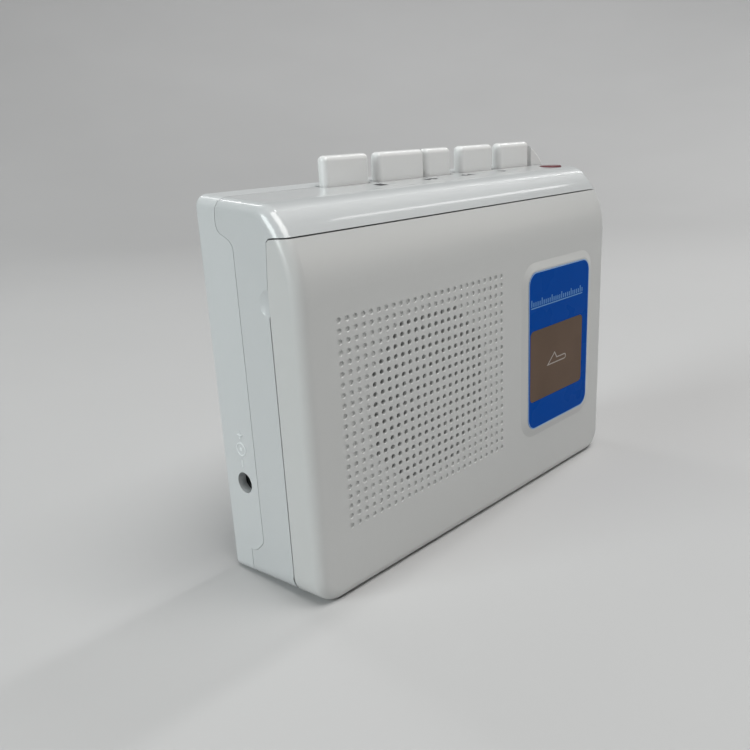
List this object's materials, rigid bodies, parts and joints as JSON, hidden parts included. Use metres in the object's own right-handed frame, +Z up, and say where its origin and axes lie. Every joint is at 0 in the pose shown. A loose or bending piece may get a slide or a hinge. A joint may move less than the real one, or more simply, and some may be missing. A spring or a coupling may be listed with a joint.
{
  "type": "cassette recorder",
  "caption": "Hand-held cassette recorder with a perforated hinged front door, blue windowed label panel, top-edge piano keys and round indicator lens.",
  "frame": {"origin": "centre of the bounding box at the base it stands on", "axes": "+X to the right seen from the front, +Y from the front to the back, +Z up"},
  "size_m": [0.1172, 0.0318, 0.0936],
  "materials": {
    "case_grey": "smooth moulded plastic",
    "door_grey": "fine satin moulded plastic",
    "case_back": "smooth moulded plastic",
    "label_blue": "printed glossy label",
    "window_smoke": "smoked clear plastic",
    "lens_red": "tinted lens",
    "key_grey": "smooth moulded plastic",
    "inner_plastic": "moulded black plastic",
    "steel": "stamped steel",
    "screw_steel": "plated steel",
    "brass": "turned brass",
    "rubber": "moulded rubber",
    "spring_steel": "spring steel",
    "board_green": "coated board",
    "part_dark": "moulded parts",
    "paper": "pressed paper",
    "magnet_grey": "ferrite",
    "head_metal": "polished shell",
    "nylon_white": "moulded nylon"
  },
  "bodies": {
    "player": {"middle_body": "case_grey", "rear_cover": "case_back", "indicator_lens": "lens_red", "battery_contacts": "spring_steel", "case_screws": "screw_steel", "chassis_screws": "screw_steel", "chassis_plate": "steel", "capstan_bearing": "brass", "motor": "steel", "drive_belt": "rubber", "key_guide": "inner_plastic", "key_stop_strip": "rubber", "circuit_board": "board_green", "board_components": "part_dark", "dc_jack": "part_dark", "headphone_jack": "part_dark", "microphone": "head_metal"},
    "door": {"cassette_door": "door_grey", "label_panel": "label_blue", "window_pane": "window_smoke", "door_inner_plate": "inner_plastic", "door_hinge_pins": "steel", "plate_screws": "screw_steel", "cassette_springs": "spring_steel", "speaker_basket": "steel", "speaker_cone": "paper", "speaker_magnet": "magnet_grey"},
    "battery_lid": {"battery_door": "case_back"},
    "stop": {"stop_key": "key_grey"},
    "forward": {"forward_key": "key_grey"},
    "rewind": {"rewind_key": "key_grey"},
    "play": {"play_key": "key_grey"},
    "record": {"record_key": "key_grey"},
    "pause": {"pause_key": "key_grey"},
    "bridge": {"head_bridge": "steel", "playback_head": "head_metal", "erase_head": "head_metal"},
    "pinch": {"pinch_arm": "steel"},
    "pinch_wheel": {"pinch_roller": "rubber"},
    "flywheel": {"capstan_flywheel": "brass"},
    "pulley": {"motor_pulley": "brass"},
    "supply": {"supply_spindle": "nylon_white"},
    "takeup": {"takeup_spindle": "nylon_white"},
    "idler": {"idler_wheel": "rubber"},
    "volume": {"volume_wheel": "part_dark"}
  },
  "joints": [
    {"name": "door_hinge", "type": "hinge", "parent": "player", "child": "door", "pos_m": [0, -0.00795, 0.00185], "axis": [1, 0, 0], "range_deg": [0, 32]},
    {"name": "battery_lid_slide", "type": "slide", "parent": "player", "child": "battery_lid", "axis": [0, 0, -1], "range_m": [0, 0.029]},
    {"name": "stop_press", "type": "slide", "parent": "player", "child": "stop", "axis": [0, 0, -1], "range_m": [0, 0.003], "stiffness_N_per_m": 300, "springref_m": -0.002},
    {"name": "forward_press", "type": "slide", "parent": "player", "child": "forward", "axis": [0, 0, -1], "range_m": [0, 0.003], "stiffness_N_per_m": 300, "springref_m": -0.002},
    {"name": "rewind_press", "type": "slide", "parent": "player", "child": "rewind", "axis": [0, 0, -1], "range_m": [0, 0.003], "stiffness_N_per_m": 300, "springref_m": -0.002},
    {"name": "play_press", "type": "slide", "parent": "player", "child": "play", "axis": [0, 0, -1], "range_m": [0, 0.003], "stiffness_N_per_m": 300, "springref_m": -0.002},
    {"name": "record_press", "type": "slide", "parent": "player", "child": "record", "axis": [0, 0, -1], "range_m": [0, 0.003], "stiffness_N_per_m": 300, "springref_m": -0.002},
    {"name": "pause_press", "type": "slide", "parent": "player", "child": "pause", "axis": [0, 0, -1], "range_m": [0, 0.003], "stiffness_N_per_m": 300, "springref_m": -0.002},
    {"name": "bridge_slide", "type": "slide", "parent": "player", "child": "bridge", "axis": [0, 0, -1], "range_m": [0, 0.003]},
    {"name": "pinch_swing", "type": "hinge", "parent": "player", "child": "pinch", "pos_m": [0.041, 0.00175, 0.072], "axis": [0, -1, 0], "range_deg": [0, 25]},
    {"name": "pinch_spin", "type": "hinge", "parent": "pinch", "child": "pinch_wheel", "pos_m": [0.02565, -0.00175, 0.0756], "axis": [0, 1, 0], "continuous": true},
    {"name": "capstan_spin", "type": "hinge", "parent": "player", "child": "flywheel", "pos_m": [0.0256, 0.00475, 0.062], "axis": [0, 1, 0], "continuous": true},
    {"name": "motor_spin", "type": "hinge", "parent": "player", "child": "pulley", "pos_m": [-0.038, 0.00975, 0.068], "axis": [0, 1, 0], "continuous": true},
    {"name": "idler_spin", "type": "hinge", "parent": "player", "child": "idler", "pos_m": [0.02872, 0.00775, 0.04216], "axis": [0, 1, 0], "continuous": true},
    {"name": "takeup_spin", "type": "hinge", "parent": "player", "child": "takeup", "pos_m": [0.02125, 0.00475, 0.0354], "axis": [0, 1, 0], "continuous": true},
    {"name": "supply_spin", "type": "hinge", "parent": "player", "child": "supply", "pos_m": [-0.02125, 0.00475, 0.0354], "axis": [0, 1, 0], "continuous": true},
    {"name": "volume_turn", "type": "hinge", "parent": "player", "child": "volume", "pos_m": [0.0506, 0.00945, 0.052], "axis": [0, 1, 0], "range_deg": [-140, 140]}
  ],
  "couplings": [
    {"joint": "bridge_slide", "follows": "play_press", "ratio": 1},
    {"joint": "pinch_swing", "follows": "play_press", "rad_per_m": 145.44},
    {"joint": "motor_spin", "follows": "capstan_spin", "ratio": 3.85},
    {"joint": "idler_spin", "follows": "capstan_spin", "ratio": -4},
    {"joint": "takeup_spin", "follows": "capstan_spin", "ratio": 2.6667}
  ]
}
